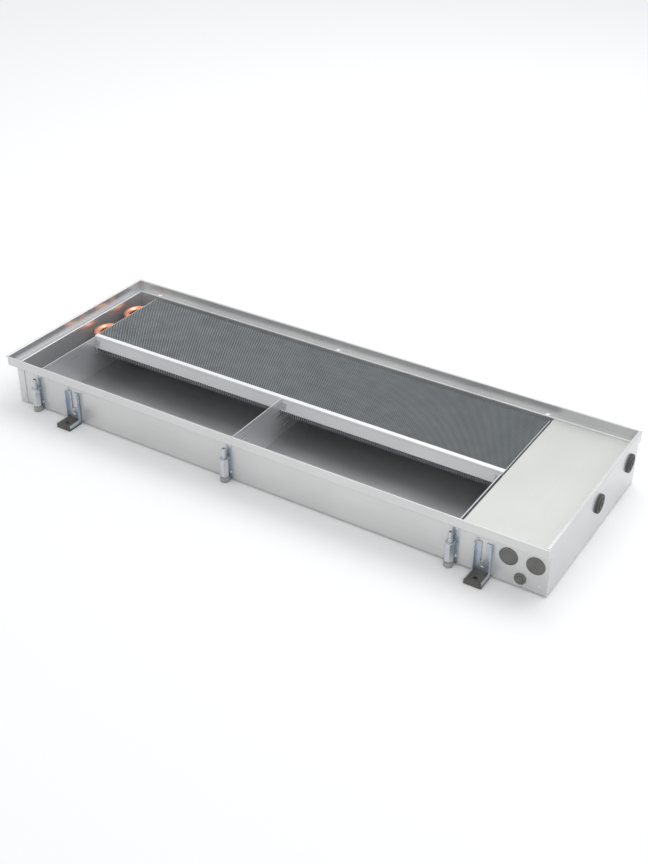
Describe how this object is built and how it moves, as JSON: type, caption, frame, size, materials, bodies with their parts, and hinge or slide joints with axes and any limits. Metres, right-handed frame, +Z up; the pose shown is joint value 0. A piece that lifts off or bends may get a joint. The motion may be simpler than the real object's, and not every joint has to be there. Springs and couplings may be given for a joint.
{
  "type": "trench convector heater",
  "caption": "Floor trench heater: folded sheet trough with a grille ledge, finned water exchanger, covered pipe bay, levelling jacks and floor anchors.",
  "frame": {"origin": "middle of the bounding box, on the floor", "axes": "+X along the trough towards the pipe connections, +Y from the front wall to the exchanger side, +Z up"},
  "size_m": [1.0176, 0.405, 0.0915],
  "materials": {
    "trough_sheet": "satin light grey",
    "inner_sheet": "satin zinc-coated sheet",
    "deflector_sheet": "satin near-white",
    "cover_sheet": "satin near-white",
    "fin_metal": "dull grey thin sheet",
    "copper": "bright copper, slightly dulled",
    "brass": "machined",
    "rivet_metal": "dull",
    "zinc_sheet": "bluish zinc plating",
    "zinc_bar": "turned and zinc plated",
    "grey_plastic": "dark grey, matt",
    "rubber": "dark grey, matt"
  },
  "bodies": {
    "trough": {"trough_pan": "trough_sheet", "left_end_plate": "trough_sheet", "right_end_plate": "trough_sheet", "left_partition": "inner_sheet", "middle_partition": "inner_sheet", "right_partition": "inner_sheet", "rear_rail": "inner_sheet", "exchanger_end_plates": "inner_sheet", "cover_supports": "inner_sheet", "deflector": "deflector_sheet", "fin_pack": "fin_metal", "heat_tubes": "copper", "left_return_bends": "copper", "right_return_bend": "copper", "supply_connector": "brass", "return_connector": "brass", "vent_body": "brass", "end_plate_rivets": "rivet_metal", "rail_rivets": "rivet_metal", "cover_support_rivets": "rivet_metal", "jack_bracket_rivets": "rivet_metal", "anchor_stops": "rivet_metal", "jack_brackets": "zinc_sheet", "jack_sleeves": "zinc_bar", "anchor_screws": "zinc_bar", "anchor_nuts": "zinc_bar", "blanking_caps": "grey_plastic", "cable_gland": "grey_plastic", "pipe_grommets": "rubber"},
    "cover": {"cover_plate": "cover_sheet"},
    "vent_screw": {"vent_screw": "rivet_metal"},
    "jack_foot_fl": {"jack_foot_fl": "rubber"},
    "jack_spindle_fl": {"jack_spindle_fl": "zinc_bar"},
    "jack_foot_fm": {"jack_foot_fm": "rubber"},
    "jack_spindle_fm": {"jack_spindle_fm": "zinc_bar"},
    "jack_foot_fr": {"jack_foot_fr": "rubber"},
    "jack_spindle_fr": {"jack_spindle_fr": "zinc_bar"},
    "jack_foot_rl": {"jack_foot_rl": "rubber"},
    "jack_spindle_rl": {"jack_spindle_rl": "zinc_bar"},
    "jack_foot_rm": {"jack_foot_rm": "rubber"},
    "jack_spindle_rm": {"jack_spindle_rm": "zinc_bar"},
    "jack_foot_rr": {"jack_foot_rr": "rubber"},
    "jack_spindle_rr": {"jack_spindle_rr": "zinc_bar"},
    "anchor_fl": {"anchor_bracket_fl": "zinc_sheet", "anchor_pad_fl": "rubber"},
    "anchor_fr": {"anchor_bracket_fr": "zinc_sheet", "anchor_pad_fr": "rubber"},
    "anchor_rl": {"anchor_bracket_rl": "zinc_sheet", "anchor_pad_rl": "rubber"},
    "anchor_rr": {"anchor_bracket_rr": "zinc_sheet", "anchor_pad_rr": "rubber"}
  },
  "joints": [
    {"name": "cover_tilt", "type": "hinge", "parent": "trough", "child": "cover", "pos_m": [0.5002, 0, 0.072], "axis": [0, 1, 0], "range_deg": [0, 65]},
    {"name": "vent_turn", "type": "hinge", "parent": "trough", "child": "vent_screw", "pos_m": [0.4295, -0.01, 0.05675], "axis": [0, -1, 0], "range_deg": [0, 180]},
    {"name": "jack_fl_travel", "type": "slide", "parent": "trough", "child": "jack_foot_fl", "axis": [0, 0, -1], "range_m": [0, 0.025]},
    {"name": "jack_fl_turn", "type": "hinge", "parent": "jack_foot_fl", "child": "jack_spindle_fl", "pos_m": [-0.44975, -0.1781, 0.03], "axis": [0, 0, -1], "range_deg": [0, 7200]},
    {"name": "jack_fm_travel", "type": "slide", "parent": "trough", "child": "jack_foot_fm", "axis": [0, 0, -1], "range_m": [0, 0.025]},
    {"name": "jack_fm_turn", "type": "hinge", "parent": "jack_foot_fm", "child": "jack_spindle_fm", "pos_m": [-0.04875, -0.1781, 0.03], "axis": [0, 0, -1], "range_deg": [0, 7200]},
    {"name": "jack_fr_travel", "type": "slide", "parent": "trough", "child": "jack_foot_fr", "axis": [0, 0, -1], "range_m": [0, 0.025]},
    {"name": "jack_fr_turn", "type": "hinge", "parent": "jack_foot_fr", "child": "jack_spindle_fr", "pos_m": [0.35225, -0.1781, 0.03], "axis": [0, 0, -1], "range_deg": [0, 7200]},
    {"name": "jack_rl_travel", "type": "slide", "parent": "trough", "child": "jack_foot_rl", "axis": [0, 0, -1], "range_m": [0, 0.025]},
    {"name": "jack_rl_turn", "type": "hinge", "parent": "jack_foot_rl", "child": "jack_spindle_rl", "pos_m": [-0.45475, 0.1781, 0.03], "axis": [0, 0, -1], "range_deg": [0, 7200]},
    {"name": "jack_rm_travel", "type": "slide", "parent": "trough", "child": "jack_foot_rm", "axis": [0, 0, -1], "range_m": [0, 0.025]},
    {"name": "jack_rm_turn", "type": "hinge", "parent": "jack_foot_rm", "child": "jack_spindle_rm", "pos_m": [-0.05375, 0.1781, 0.03], "axis": [0, 0, -1], "range_deg": [0, 7200]},
    {"name": "jack_rr_travel", "type": "slide", "parent": "trough", "child": "jack_foot_rr", "axis": [0, 0, -1], "range_m": [0, 0.025]},
    {"name": "jack_rr_turn", "type": "hinge", "parent": "jack_foot_rr", "child": "jack_spindle_rr", "pos_m": [0.34725, 0.1781, 0.03], "axis": [0, 0, -1], "range_deg": [0, 7200]},
    {"name": "anchor_fl_travel", "type": "slide", "parent": "trough", "child": "anchor_fl", "axis": [0, 0, -1], "range_m": [0, 0.025]},
    {"name": "anchor_fr_travel", "type": "slide", "parent": "trough", "child": "anchor_fr", "axis": [0, 0, -1], "range_m": [0, 0.025]},
    {"name": "anchor_rl_travel", "type": "slide", "parent": "trough", "child": "anchor_rl", "axis": [0, 0, -1], "range_m": [0, 0.025]},
    {"name": "anchor_rr_travel", "type": "slide", "parent": "trough", "child": "anchor_rr", "axis": [0, 0, -1], "range_m": [0, 0.025]}
  ],
  "couplings": [
    {"joint": "jack_fl_travel", "follows": "jack_fl_turn", "m_per_rad": 0.00019894},
    {"joint": "jack_fm_travel", "follows": "jack_fm_turn", "m_per_rad": 0.00019894},
    {"joint": "jack_fr_travel", "follows": "jack_fr_turn", "m_per_rad": 0.00019894},
    {"joint": "jack_rl_travel", "follows": "jack_rl_turn", "m_per_rad": 0.00019894},
    {"joint": "jack_rm_travel", "follows": "jack_rm_turn", "m_per_rad": 0.00019894},
    {"joint": "jack_rr_travel", "follows": "jack_rr_turn", "m_per_rad": 0.00019894}
  ]
}
